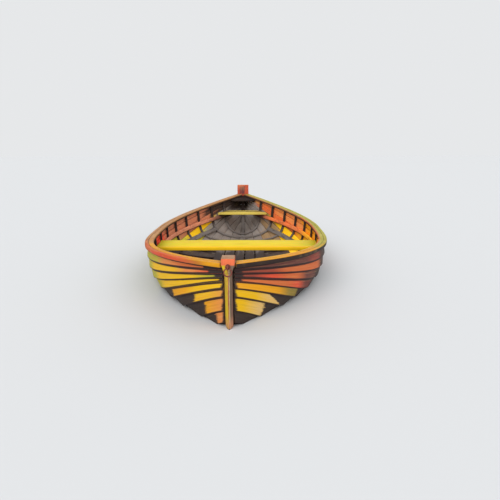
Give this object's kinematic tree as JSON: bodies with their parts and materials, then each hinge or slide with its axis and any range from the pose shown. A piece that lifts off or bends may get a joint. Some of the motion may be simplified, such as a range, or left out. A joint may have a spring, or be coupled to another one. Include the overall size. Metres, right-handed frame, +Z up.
{
  "type": "double-ended clinker rowing boat",
  "caption": "Wooden double-ended rowing boat afloat: lapped planks on a keel and posts, ribs, rails, thwarts, floorboards and a swinging mooring ring.",
  "frame": {"origin": "amidships on the centreline, at the waterline on which the boat floats", "axes": "+X forward to the bow, +Y to port, +Z up"},
  "size_m": [4.0637, 1.544, 0.702],
  "materials": {
    "lower_planking": "weathered yellow ochre paint over wood, black-brown at the waterline",
    "starboard_planking": "weathered yellow paint with a green cast at the widest part",
    "port_planking": "weathered orange-red paint over wood",
    "rail_paint": "worn orange paint with yellow showing",
    "thwart_paint": "bright yellow paint, lightly worn",
    "post_paint": "red-orange paint on the heads, yellow and brown below",
    "dark_timber": "tarred and weathered wood",
    "grey_boards": "bare boards, dark grey and worn",
    "rusted_iron": "rusted forged iron"
  },
  "bodies": {
    "hull": {"strake_port_1": "lower_planking", "strake_port_2": "lower_planking", "strake_port_3": "lower_planking", "strake_port_4_aft": "lower_planking", "strake_port_4_fore": "lower_planking", "strake_port_5": "lower_planking", "strake_port_6": "port_planking", "strake_port_7": "port_planking", "strake_port_8": "port_planking", "strake_port_9": "port_planking", "strake_starboard_1": "lower_planking", "strake_starboard_2": "lower_planking", "strake_starboard_3": "lower_planking", "strake_starboard_4_aft": "lower_planking", "strake_starboard_4_fore": "lower_planking", "strake_starboard_5": "lower_planking", "strake_starboard_6": "starboard_planking", "strake_starboard_7": "starboard_planking", "strake_starboard_8": "starboard_planking", "strake_starboard_9": "starboard_planking", "rib_01": "dark_timber", "rib_port_02": "dark_timber", "rib_port_03": "dark_timber", "rib_port_04": "dark_timber", "rib_port_05": "dark_timber", "rib_port_06": "dark_timber", "rib_port_07": "dark_timber", "rib_port_08": "dark_timber", "rib_port_09": "dark_timber", "rib_port_10": "dark_timber", "rib_port_11": "dark_timber", "rib_12": "dark_timber", "rib_starboard_02": "dark_timber", "rib_starboard_03": "dark_timber", "rib_starboard_04": "dark_timber", "rib_starboard_05": "dark_timber", "rib_starboard_06": "dark_timber", "rib_starboard_07": "dark_timber", "rib_starboard_08": "dark_timber", "rib_starboard_09": "dark_timber", "rib_starboard_10": "dark_timber", "rib_starboard_11": "dark_timber", "riser_port": "dark_timber", "riser_starboard": "dark_timber", "bilge_stringer_port": "dark_timber", "bilge_stringer_starboard": "dark_timber", "bow_thwart": "thwart_paint", "stern_thwart": "thwart_paint", "keel": "dark_timber", "hog": "dark_timber", "bow_post": "post_paint", "stern_post": "post_paint", "rail_port": "rail_paint", "rail_starboard": "rail_paint", "bow_breasthook": "dark_timber", "stern_breasthook": "dark_timber", "floorboards": "grey_boards", "bow_eyebolt": "rusted_iron"},
    "ring": {"mooring_ring": "rusted_iron"}
  },
  "joints": [
    {"name": "ring_swing", "type": "hinge", "parent": "hull", "child": "ring", "pos_m": [2.0319, 0, 0.3913], "axis": [0, -1, 0], "range_deg": [0, 150]}
  ]
}
